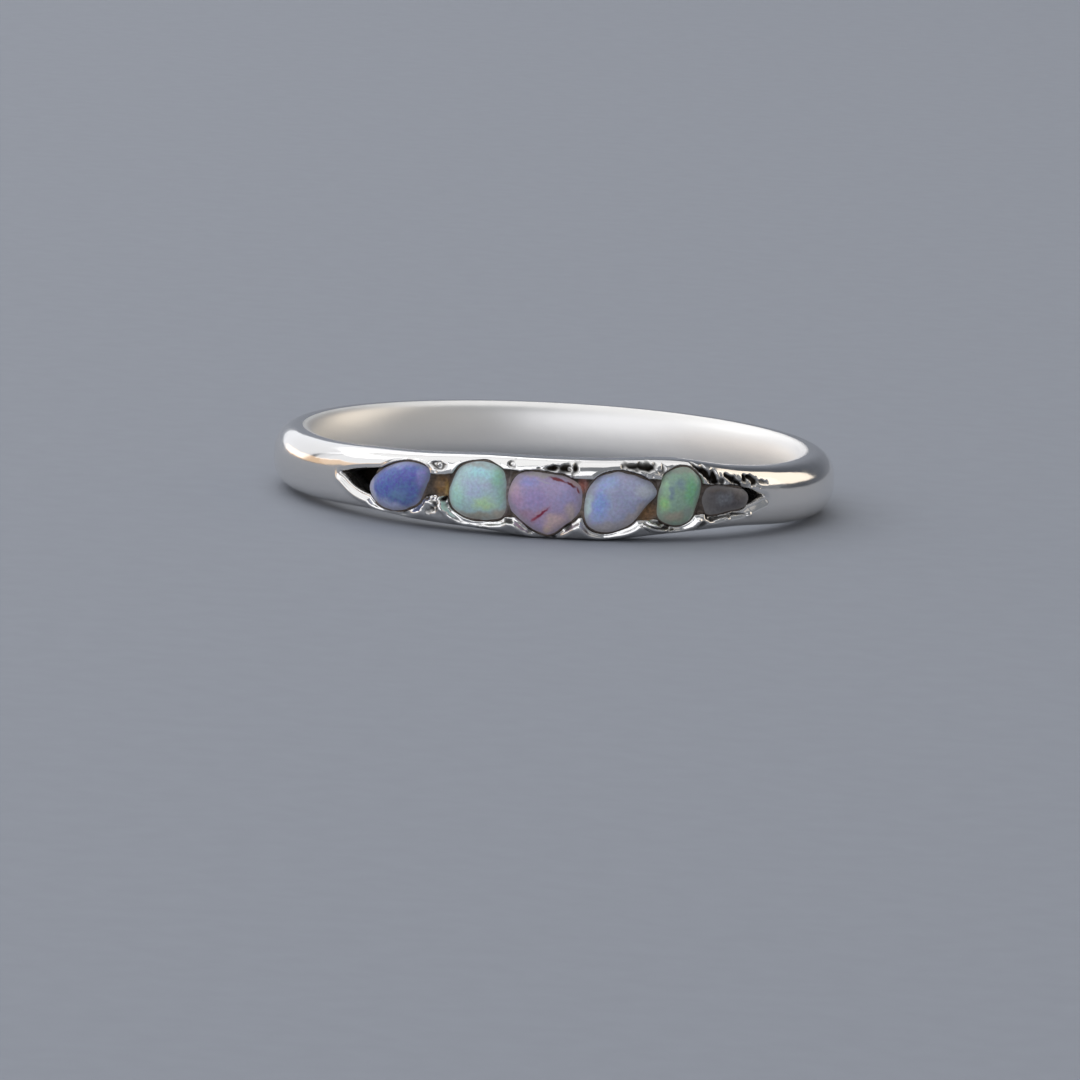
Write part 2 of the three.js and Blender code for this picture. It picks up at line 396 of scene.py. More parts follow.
@dataclass(frozen=True)
class ColourPatch:
    """A soft oval of colour in a stone, seen through its milky body."""

    along: float
    height: float
    reach_along: float
    reach_height: float
    colour: str
    strength: float = 0.8
    tilt: float = 0.0
    core: float = 0.2  # the share of the oval that has full colour

    FLAT = 1000.0  # stretches the oval so far that the radius hardly counts

    def paint(
        self, tree: bpy.types.NodeTree, under: bpy.types.NodeSocket, place: bpy.types.NodeSocket
    ) -> bpy.types.NodeSocket:
        """Lays the patch over a colour.

        Args:
            tree: The material's tree.
            under: The colour under the patch.
            place: Where a point is on the face.

        Returns:
            The colour with the patch.
        """
        local = add_node(
            tree,
            "Mapping",
            {
                "Vector": place,
                "Location": (self.along, self.height, 0.0),
                "Rotation": (0.0, 0.0, math.radians(self.tilt)),
                "Scale": (self.reach_along, self.reach_height, self.FLAT),
            },
            vector_type="TEXTURE",
        )
        away = add_node(tree, "VectorMath", {0: local.outputs[0]}, operation="LENGTH")
        share = add_node(
            tree,
            "MapRange",
            {"Value": away.outputs["Value"], 1: self.core, 2: 1.0, 3: self.strength, 4: 0.0},
            interpolation_type="SMOOTHSTEP",
        )
        mixed = add_node(
            tree, "Mix", {0: share.outputs[0], 6: under, 7: linear(self.colour)}, data_type="RGBA"
        )
        return mixed.outputs[2]


@dataclass(frozen=True)
class TumbledOpal:
    """Rough precious opal, smoothed by tumbling and left uncut.

    The body is milky, so light spreads a little under the surface, and the play of colour sits in
    it as soft patches with no hard edges. Tumbling leaves a soft gloss.
    """

    name: str
    body: str
    patches: tuple[ColourPatch, ...]
    cracks: tuple[ColourPatch, ...] = ()
    roughness: float = 0.3
    scatter: float = 0.2
    scatter_reach: float = 0.12
    index: float = 1.45  # opal is 1.37 to 1.47
    dents: FineRelief = FineRelief(0.35, 0.02, 0.35, 3.0, 0.55)  # left by tumbling
    edge: str = "#9d9893"  # the grey at the thin edge: painted shade of the dome's edge, with the bed showing through
    edge_shade_share: float = 0.5
    girdle_radius: float = 10.2
    edge_shade_rise: float = 0.16  # how far over the girdle the edge's colour reaches
    drift: float = 0.12  # how far the patches' edges wander
    drift_size: float = 0.5
    crack_drift: float = 0.03
    crack_drift_size: float = 1 / 6
    grain_size: float = 0.11  # the finest grains of colour
    grain_share: float = 0.1
    brightness: float = 1.3  # the play of colour is brighter than its pigment
    saturation: float = 0.75

    def material(self) -> bpy.types.Material:
        """Makes the stone's material."""
        material, tree = new_material(self.name)
        place = face_place(tree)
        drifted = self.wander(tree, place, self.drift_size, self.drift)
        tight = self.wander(tree, place, self.crack_drift_size, self.crack_drift)
        body = add_node(tree, "RGB")
        body.outputs[0].default_value = linear(self.body)
        colour = body.outputs[0]
        for patch in self.patches:
            colour = patch.paint(tree, colour, drifted)
        colour = self.grain(tree, colour, place)
        # Painted shade: the colour greys towards the girdle, round every stone.
        colour = self.shade_thin_edge(tree, colour, place)
        for crack in self.cracks:
            colour = crack.paint(tree, colour, tight)
        shader = add_node(
            tree,
            "BsdfPrincipled",
            {
                "Base Color": colour,
                "Roughness": self.roughness,
                "IOR": self.index,
                "Subsurface Weight": self.scatter,
                "Subsurface Radius": (1.0, 0.9, 0.8),
                "Subsurface Scale": self.scatter_reach * MM,
                "Normal": self.dents.lay(tree, place),
            },
        )
        add_node(tree, "OutputMaterial", {"Surface": shader.outputs[0]})
        return material

    def wander(
        self, tree: bpy.types.NodeTree, place: bpy.types.NodeSocket, size: float, reach: float
    ) -> bpy.types.NodeSocket:
        """Shifts places about, so that what is drawn on them has uneven edges.

        Args:
            tree: The material's tree.
            place: Where a point is on the face.
            size: How far apart the shifts change, in millimetres.
            reach: The usual largest shift, in millimetres.

        Returns:
            The shifted place.
        """
        noise = add_node(tree, "TexNoise", {"Vector": place, "Scale": 1 / size, "Detail": 2.0})
        centred = add_node(
            tree, "VectorMath", {0: noise.outputs["Color"], 1: (0.5, 0.5, 0.5)}, operation="SUBTRACT"
        )
        stretch = 4 * reach  # as noise strays by about a quarter
        shift = add_node(
            tree, "VectorMath", {0: centred.outputs[0], 1: (stretch, stretch, 0.0)}, operation="MULTIPLY"
        )
        moved = add_node(tree, "VectorMath", {0: place, 1: shift.outputs[0]}, operation="ADD")
        return moved.outputs[0]

    def grain(
        self, tree: bpy.types.NodeTree, colour: bpy.types.NodeSocket, place: bpy.types.NodeSocket
    ) -> bpy.types.NodeSocket:
        """Varies the hue and the brightness in fine grains, as packed silica spheres do.

        Args:
            tree: The material's tree.
            colour: The stone's colour.
            place: Where a point is on the face.

        Returns:
            The colour with its grains.
        """
        cells = add_node(tree, "TexNoise", {"Vector": place, "Scale": 1 / self.grain_size, "Detail": 1.5})
        parts = add_node(tree, "SeparateColor", {0: cells.outputs["Color"]})
        varied = []
        # the hue, where 0.5 changes nothing, and then the brightness
        for part, middle, reach in ((0, 0.5, 0.25), (1, self.brightness, self.brightness)):
            low, high = middle - reach * self.grain_share, middle + reach * self.grain_share
            node = add_node(
                tree,
                "MapRange",
                {"Value": parts.outputs[part], 1: NOISE_LOW, 2: NOISE_HIGH, 3: low, 4: high},
            )
            varied.append(node.outputs[0])
        shifted = add_node(
            tree,
            "HueSaturation",
            {"Hue": varied[0], "Saturation": self.saturation, "Value": varied[1], "Color": colour},
        )
        return shifted.outputs[0]

    def shade_thin_edge(
        self, tree: bpy.types.NodeTree, colour: bpy.types.NodeSocket, place: bpy.types.NodeSocket
    ) -> bpy.types.NodeSocket:
        """Dulls the colour towards the girdle, where the stone is thin, as painted shade of the dome's
        edge.

        Args:
            tree: The material's tree.
            colour: The stone's colour.
            place: Where a point is on the face.

        Returns:
            The colour with its edge.
        """
        axes = add_node(tree, "SeparateXYZ", {0: place})
        low = self.girdle_radius
        share = add_node(
            tree,
            "MapRange",
            {"Value": axes.outputs["Z"], 1: low, 2: low + self.edge_shade_rise, 3: self.edge_shade_share, 4: 0.0},
            interpolation_type="SMOOTHSTEP",
        )
        mixed = add_node(
            tree, "Mix", {0: share.outputs[0], 6: colour, 7: linear(self.edge)}, data_type="RGBA"
        )
        return mixed.outputs[2]


@dataclass(frozen=True)
class PolishedSilver:
    """Sterling silver, cast, carved with a burr and polished by hand.

    The polish gives a bright mirror with a slow waviness and fine wheel marks. Silver sulphide
    stays where the wheel can't reach, and makes the recesses near black. The same near-black is
    also painted shade in the seams round the stones and in the channel's empty tips.
    """

    name: str = "sterling_silver_hand_polished"
    bright: str = "#f2efea"
    # near-black: sulphide in the recesses, and painted shade in the seams and the channel's empty tips
    sulphide_and_shade: str = "#17130f"
    roughness: tuple[float, float] = (0.07, 0.15)  # where it is polished most and least
    smear_size: float = 0.5
    worn_roughness: float = 0.45  # inside, where the finger dulls the polish
    worn_radius: float = 9.3
    worn_fade: float = 0.15
    dull_roughness: float = 0.5
    waves: FineRelief = FineRelief(0.9, 0.02, 0.5, 2.0, 0.4)
    # drawn coarser than real wheel marks, which are too fine to show
    wheel_marks: FineRelief = FineRelief(0.12, 0.002, 0.2, 3.0)

    def material(self) -> bpy.types.Material:
        """Makes the metal's material."""
        material, tree = new_material(self.name)
        place = face_place(tree)
        # Tarnish and painted shade: the attribute darkens pits and recesses, the seams round the stones
        # and the channel's empty tips.
        recess = add_node(tree, "Attribute", attribute_name=Band.TARNISH_AND_SHADE)
        colour = add_node(
            tree,
            "Mix",
            {0: recess.outputs["Fac"], 6: linear(self.bright), 7: linear(self.sulphide_and_shade)},
            data_type="RGBA",
        )
        smear = add_node(tree, "TexNoise", {"Vector": place, "Scale": 1 / self.smear_size, "Detail": 4.0})
        polish = add_node(
            tree,
            "MapRange",
            {
                "Value": smear.outputs["Fac"],
                1: NOISE_LOW,
                2: NOISE_HIGH,
                3: self.roughness[0],
                4: self.roughness[1],
            },
        )
        axes = add_node(tree, "SeparateXYZ", {0: place})
        worn_polish = add_node(
            tree,
            "MapRange",
            {
                "Value": axes.outputs["Z"],
                1: self.worn_radius - self.worn_fade,
                2: self.worn_radius,
                3: self.worn_roughness,
                4: polish.outputs[0],
            },
        )
        rough = add_node(
            tree,
            "MapRange",
            {"Value": recess.outputs["Fac"], 3: worn_polish.outputs[0], 4: self.dull_roughness},
        )
        waves = self.waves.lay(tree, place)
        shader = add_node(
            tree,
            "BsdfPrincipled",
            {
                "Base Color": colour.outputs[2],
                "Metallic": 1.0,
                "Roughness": rough.outputs[0],
                "Normal": self.wheel_marks.lay(tree, place, waves),
            },
        )
        add_node(tree, "OutputMaterial", {"Surface": shader.outputs[0]})
        return material


@dataclass(frozen=True)
class CuredResin:
    """Brown bedding resin with ground matrix in it, cured and left unpolished.

    It is nearly black in the thin seams and golden brown where it fills a wider gap.
    """

    name: str = "bedding_resin_cured"
    dark: str = "#5a4e45"
    fillings: tuple[ColourPatch, ...] = (
        ColourPatch(-4.18, 1.62, 0.5, 0.6, "#7d5c30", 0.95),
        ColourPatch(-3.98, 1.5, 0.16, 0.4, "#a88a52", 0.7),
        ColourPatch(3.6, 1.05, 0.6, 0.42, "#8c6a48", 0.95, 30),
        ColourPatch(1.1, 2.0, 0.26, 0.4, "#b5766a", 0.9),
        ColourPatch(1.14, 1.1, 0.2, 0.6, "#86766a", 0.8),
        ColourPatch(-1.66, 1.5, 0.24, 1.0, "#8d8280", 0.85),
    )
    roughness: float = 0.35
    index: float = 1.5  # polyester and epoxy are near it
    grit_size: float = 0.12
    grit_depth: float = 0.02
    darkest: float = 0.55  # how the grit changes the colour
    lightest: float = 1.35

    def material(self) -> bpy.types.Material:
        """Makes the resin's material."""
        material, tree = new_material(self.name)
        place = face_place(tree)
        body = add_node(tree, "RGB")
        body.outputs[0].default_value = linear(self.dark)
        colour = body.outputs[0]
        for filling in self.fillings:
            colour = filling.paint(tree, colour, place)
        grit = add_node(tree, "TexNoise", {"Vector": place, "Scale": 1 / self.grit_size, "Detail": 3.0})
        level = add_node(
            tree,
            "MapRange",
            {
                "Value": grit.outputs["Fac"],
                1: NOISE_LOW,
                2: NOISE_HIGH,
                3: self.darkest,
                4: self.lightest,
            },
        )
        gritty = add_node(tree, "HueSaturation", {"Value": level.outputs[0], "Color": colour})
        bump = add_node(
            tree,
            "Bump",
            {"Strength": 0.6, "Distance": self.grit_depth * MM, "Height": grit.outputs["Fac"]},
        )
        shader = add_node(
            tree,
            "BsdfPrincipled",
            {
                "Base Color": gritty.outputs[0],
                "Roughness": self.roughness,
                "IOR": self.index,
                "Normal": bump.outputs[0],
            },
        )
        add_node(tree, "OutputMaterial", {"Surface": shader.outputs[0]})
        return material


# The stones


@dataclass
class Opal:
    """One opal: a tumbled pebble with a low crown, narrower under its girdle."""

    node: str
    slot: Slot
    crown: float
    corners: tuple[tuple[float, float], ...]
    finish: TumbledOpal
    girdle_radius: float = 10.22
    base_radius: float = 9.64
    base_shrink: float = 0.86
    swell: float = 0.065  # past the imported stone's outline, to close the seam to a hair
    crown_power: float = 2.8
    crown_shoulder: float = 0.75  # less keeps the crown full for longer
    around: int = 96
    crown_rings: int = 22
    side_rings: int = 6
    unevenness: float = 0.03  # of the tumbled surface
    unevenness_size: float = 0.7
    seed: int = 1

    def outline(self, count: int) -> np.ndarray:
        """Returns the girdle's outline with count points."""
        curve = closed_curve(self.corners, count)
        run = np.roll(curve, -1, axis=0) - np.roll(curve, 1, axis=0)
        outward = np.stack([run[:, 1], -run[:, 0]], axis=1) / np.linalg.norm(run, axis=1)[:, None]
        return curve + self.swell * outward

    def build(self) -> bpy.types.Object:
        """Builds the stone as a closed mesh and dresses it.

        Returns:
            The stone.
        """
        outline = self.outline(self.around)
        centre = outline.mean(axis=0)
        scales: list[float] = []
        radii: list[float] = []
        for t in np.linspace(0, 1, self.side_rings, endpoint=False):
            scales.append(self.base_shrink + (1 - self.base_shrink) * math.sin(t * math.pi / 2))
            radii.append(self.base_radius + (self.girdle_radius - self.base_radius) * t)
        for t in np.linspace(0, 1, self.crown_rings, endpoint=False):
            scale = math.cos(t * math.pi / 2) ** self.crown_shoulder
            scales.append(scale)
            radii.append(self.girdle_radius + self.crown * (1 - scale**self.crown_power))
        scale = np.array(scales)[:, None, None]
        places = centre + (outline[None] - centre) * scale
        places = np.concatenate([places.reshape(-1, 2), [centre, centre]])
        radius = np.concatenate(
            [np.repeat(radii, self.around), [self.base_radius, self.girdle_radius + self.crown]]
        )
        rise = Swells(self.unevenness_size, self.seed).at(places[:, 0], places[:, 1])
        radius = radius - self.unevenness * (1 + rise) * smoothstep(
            self.base_radius, self.girdle_radius, radius
        )
        rows = self.side_rings + self.crown_rings
        faces = grid_faces(rows, self.around, False, True)
        base, top, last = rows * self.around, rows * self.around + 1, (rows - 1) * self.around
        for j in range(self.around):
            k = (j + 1) % self.around
            faces += [[k, j, base], [last + j, last + k, top]]
        points = on_face(places[:, 0], places[:, 1], radius)
        piece = make_piece(self.node + "_stone", points, faces, self.finish.material())
        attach(piece, ROOT)
        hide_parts(self.node)
        return piece


OPALS = (
    Opal(
        "opal_1_violet",
        Slot.VIOLET,
        0.3,
        (
            (-7.22, 1.24), (-6.9, 0.76), (-6.24, 0.58), (-5.56, 0.69), (-5.04, 0.99),
            (-4.78, 1.6), (-4.72, 2.08), (-5.45, 2.26), (-6.24, 2.08), (-6.94, 1.66),
        ),
        TumbledOpal(
            "opal_blue_violet_tumbled",
            "#4f67a8",
            (
                ColourPatch(-6.1, 0.62, 1.3, 0.38, "#a4a9c8", 0.85, -8),
                # The pale lavender along the left edge is the stone's paler rim, partly a painted
                # highlight of its rounded edge.
                ColourPatch(-7.08, 1.2, 0.34, 0.62, "#a6acd4", 0.85, 20),
                ColourPatch(-6.45, 1.5, 0.75, 0.55, "#4861b0", 0.8, 20),
                ColourPatch(-5.5, 1.85, 0.85, 0.36, "#5057ac", 0.85, 8),
                ColourPatch(-5.7, 1.12, 0.65, 0.34, "#5d7da4", 0.75),
                ColourPatch(-4.95, 1.8, 0.3, 0.5, "#8684c2", 0.85, -14),
                ColourPatch(-4.8, 1.15, 0.4, 0.42, "#3d4672", 0.85),
                # The pale band along the upper edge is the paler rim, partly a painted highlight of its
                # rounded edge.
                ColourPatch(-5.9, 2.16, 1.2, 0.16, "#8a8fc6", 0.6, 10),
            ),
            saturation=0.9,
            brightness=1.18,
        ),
        seed=11,
    ),
    Opal(
        "opal_2_mint",
        Slot.MINT,
        0.34,
        (
            (-3.78, 1.4), (-3.66, 0.94), (-3.2, 0.68), (-2.34, 0.61), (-1.78, 0.78), (-1.72, 1.5),
            (-1.86, 2.28), (-2.3, 2.52), (-2.8, 2.54), (-3.42, 2.32), (-3.68, 1.86),
        ),
        TumbledOpal(
            "opal_pale_mint_tumbled",
            "#9fc2c2",
            (
                ColourPatch(-3.5, 1.3, 0.42, 0.75, "#92cbb8", 0.8),
                ColourPatch(-2.05, 2.1, 0.42, 0.55, "#7cbf9a", 0.85, -30),
                ColourPatch(-2.65, 2.22, 0.75, 0.32, "#8ecbd4", 0.85),
                ColourPatch(-2.8, 1.66, 0.6, 0.6, "#a0b2ce", 0.85),
                ColourPatch(-2.3, 1.8, 0.35, 0.4, "#acb2ce", 0.6),
                ColourPatch(-1.86, 1.5, 0.24, 0.6, "#8dc0a6", 0.7),
                ColourPatch(-2.4, 1.1, 0.62, 0.34, "#a9cf86", 0.8, 6),
                # Painted shade: the tan browns along the lower edge, where the dome turns down.
                ColourPatch(-1.9, 0.8, 0.42, 0.3, "#b0a088", 0.85),
                ColourPatch(-2.7, 0.66, 1.1, 0.22, "#a39880", 0.85),
                ColourPatch(-2.9, 2.5, 1.0, 0.16, "#9a9c98", 0.7, -4),
            ),
        ),
        seed=12,
    ),
    Opal(
        "opal_3_rose",
        Slot.ROSE,
        0.26,
        (
            (-1.58, 1.6), (-1.44, 1.02), (-1.02, 0.66), (-0.53, 0.36), (-0.05, 0.22), (0.46, 0.6),
            (0.92, 0.96), (1.06, 1.38), (0.98, 1.88), (0.6, 2.15), (-0.13, 2.32), (-0.8, 2.33),
            (-1.28, 2.2),
        ),
        TumbledOpal(
            "opal_lavender_rose_tumbled",
            "#9c86b2",
            (
                ColourPatch(-1.5, 1.75, 0.45, 0.55, "#c79cae", 0.85),
                ColourPatch(-1.3, 1.4, 0.45, 0.45, "#b184ac", 0.7),
                ColourPatch(-0.85, 2.05, 0.5, 0.3, "#7a78c0", 0.85),
                ColourPatch(-0.6, 1.5, 0.65, 0.5, "#957cb8", 0.8),
                ColourPatch(0.45, 1.55, 0.6, 0.5, "#958abb", 0.85),
                ColourPatch(-0.9, 0.88, 0.5, 0.34, "#a87c98", 0.8, -20),
                ColourPatch(-0.42, 0.86, 0.62, 0.2, "#b47c8e", 0.75, 42),
                ColourPatch(0.1, 0.68, 0.6, 0.44, "#c6a29c", 0.9, 30),
                ColourPatch(-0.08, 0.36, 0.32, 0.32, "#c8a694", 0.9),
                ColourPatch(0.72, 1.0, 0.42, 0.36, "#b8a298", 0.85, 45),
                ColourPatch(-0.2, 2.34, 1.5, 0.17, "#a79c98", 0.85, -2),
                ColourPatch(0.85, 2.05, 0.5, 0.2, "#c08a80", 0.8, -40),
            ),
            (
                ColourPatch(-0.3, 2.07, 0.42, 0.045, "#bdb4c4", 0.8, -14, 0.3),
                ColourPatch(-0.36, 0.94, 0.5, 0.075, "#8c1c40", 0.95, 42, 0.3),
                ColourPatch(-0.62, 0.72, 0.2, 0.08, "#a8465a", 0.85, 42, 0.2),
                ColourPatch(0.18, 2.16, 0.46, 0.075, "#7c1e20", 0.95, -15, 0.35),
                ColourPatch(0.66, 2.0, 0.28, 0.07, "#6b1416", 0.95, -32, 0.35),
                ColourPatch(0.92, 1.8, 0.16, 0.05, "#7e2420", 0.9, -62, 0.3),
            ),
        ),
        seed=13,
    ),
    Opal(
        "opal_4_blue",
        Slot.BLUE,
        0.34,
        (
            (1.22, 1.36), (1.26, 0.84), (1.47, 0.54), (2.05, 0.41), (2.93, 0.73), (3.46, 1.37),
            (3.83, 1.78), (3.68, 2.04), (3.08, 2.32), (2.27, 2.45), (1.6, 2.2), (1.34, 1.84),
        ),
        TumbledOpal(
            "opal_cornflower_tumbled",
            "#979bbc",
            (
                ColourPatch(1.95, 0.5, 1.2, 0.34, "#b0a7a4", 0.85, 6),
                ColourPatch(3.02, 0.98, 0.95, 0.3, "#b4a6a4", 0.85, 46),
                ColourPatch(3.4, 1.86, 0.62, 0.34, "#acb2b8", 0.8),
                ColourPatch(2.6, 2.3, 0.6, 0.24, "#a39fc0", 0.8),
                ColourPatch(1.9, 2.15, 0.6, 0.4, "#7d98cc", 0.8, 10),
                ColourPatch(1.74, 1.35, 0.44, 0.9, "#5f86d0", 0.95, -8, 0.15),
                ColourPatch(2.55, 1.6, 0.5, 0.5, "#8f95ba", 0.7),
                ColourPatch(1.28, 1.25, 0.22, 0.7, "#b4d2d0", 0.95, -4, 0.25),
                ColourPatch(2.3, 2.47, 1.3, 0.12, "#a9a6a6", 0.7, -4),
            ),
        ),
        seed=14,
    ),
    Opal(
        "opal_5_green",
        Slot.GREEN,
        0.34,
        (
            (3.98, 1.42), (4.02, 0.95), (4.3, 0.75), (4.8, 0.67), (5.22, 0.85), (5.44, 1.24),
            (5.6, 1.8), (5.56, 2.22), (5.27, 2.52), (4.82, 2.62), (4.2, 2.37), (4.02, 1.98),
        ),
        TumbledOpal(
            "opal_green_tumbled",
            "#80a68a",
            (
                ColourPatch(5.1, 1.85, 0.4, 0.7, "#5bb074", 0.85),
                ColourPatch(4.15, 2.1, 0.28, 0.4, "#8cc48a", 0.8),
                ColourPatch(4.08, 1.42, 0.3, 0.5, "#84c060", 0.95, 0, 0.1),
                ColourPatch(4.66, 2.12, 0.3, 0.3, "#75919e", 0.8),
                ColourPatch(4.36, 1.82, 0.1, 0.42, "#6a8494", 0.8, -14),
                ColourPatch(5.45, 1.9, 0.2, 0.6, "#5c9a80", 0.7),
                ColourPatch(4.5, 0.95, 0.6, 0.32, "#a49a84", 0.9),
                ColourPatch(5.05, 1.1, 0.4, 0.32, "#8d9a8e", 0.8),
                ColourPatch(4.7, 2.6, 0.8, 0.14, "#8f9a86", 0.8, -6),
            ),
        ),
        seed=15,
    ),
    Opal(
        "opal_6_grey",
        Slot.GREY,
        0.14,
        (
            (5.82, 1.34), (6.0, 1.04), (6.9, 1.1), (7.7, 1.25), (7.82, 1.5), (7.6, 1.73),
            (7.1, 1.85), (6.15, 1.92), (5.86, 1.8),
        ),
        TumbledOpal(
            "opal_grey_potch_and_shade_tumbled",
            # Dark grey body: partly the stone's own grey and partly painted shade, as this stone faces
            # away from the light.
            "#4c474a",
            (
                # Painted highlight: the paler grey in the stone's middle.
                ColourPatch(6.66, 1.5, 0.55, 0.34, "#6b6e74", 0.85),
                ColourPatch(7.35, 1.6, 0.35, 0.3, "#5e5450", 0.8),
                ColourPatch(6.2, 1.84, 0.6, 0.16, "#4a3630", 0.8),
                ColourPatch(6.25, 1.05, 0.6, 0.2, "#5c5a5c", 0.7),
            ),
            roughness=0.4,
            scatter=0.1,
            grain_share=0.26,
        ),
        seed=16,
    ),
)


# The band


@dataclass(frozen=True)
class Station:
    """A section of the band: its two edges, its outer radius and how square its face is."""

    angle: float
    low: float
    high: float
    outer: float
    square: float


@dataclass(frozen=True)
class ChannelEdge:
    """The channel's lower and upper edge at one place along the face."""

    along: float
    low: float
    high: float


class Form(Enum):
    """What a hand tool or the casting left on the rims."""

    PIT = "pit"
    LUMP = "lump"
    GRAIN = "grain"
    FOLD = "fold"


@dataclass(frozen=True)
class RimMark:
    """A pit, lump, grainy patch or fold on the rims."""

    RAGGED = Swells(0.14, 71, 0.5)  # the uneven edge of a pit
    GRAINS = (Swells(0.24, 72), Swells(0.13, 73, 0.6))
    FOLDS = 3  # half waves from the middle of a fold to its side
    # where a mark begins and where it is full, as shares of its reach
    SOFT = {Form.PIT: (1.0, 0.45), Form.LUMP: (1.0, 0.0), Form.GRAIN: (1.1, 0.5), Form.FOLD: (1.0, 0.4)}
    # the lows between grains and folds, where the tarnish begins and is full
    LOWS = {Form.GRAIN: (-0.1, -0.7), Form.FOLD: (0.0, -0.8)}

    form: Form
    along: float
    height: float
    reach_along: float
    reach_height: float
    tilt: float
    size: float  # how deep or high it is
    tarnish_and_shade: float = 0.0

    def apply(self, along: np.ndarray, height: np.ndarray) -> tuple[np.ndarray, np.ndarray]:
        """Works out what the mark does to the face.

        Args:
            along: Places along the face.
            height: Their heights.

        Returns:
            How far the face rises, and how tarnished it is.
        """
        c, s = math.cos(math.radians(self.tilt)), math.sin(math.radians(self.tilt))
        x, y = along - self.along, height - self.height
        across = c * y - s * x
        near = np.hypot((c * x + s * y) / self.reach_along, across / self.reach_height)
        share = smoothstep(*self.SOFT[Form.PIT], near * (1 + self.RAGGED.at(along, height)))
        if self.form is Form.PIT:
            return -self.size * share, self.tarnish_and_shade * share
        soft = smoothstep(*self.SOFT[self.form], near)
        if self.form is Form.LUMP:
            return self.size * soft, self.tarnish_and_shade * share
        if self.form is Form.GRAIN:
            rise = sum(grains.at(along, height) for grains in self.GRAINS)
        else:
            bend = 0.5 * x**2 / self.reach_along
            rise = np.sin((across - bend) / self.reach_height * self.FOLDS * math.pi)
        return self.size * rise * soft, self.tarnish_and_shade * soft * smoothstep(*self.LOWS[self.form], rise)


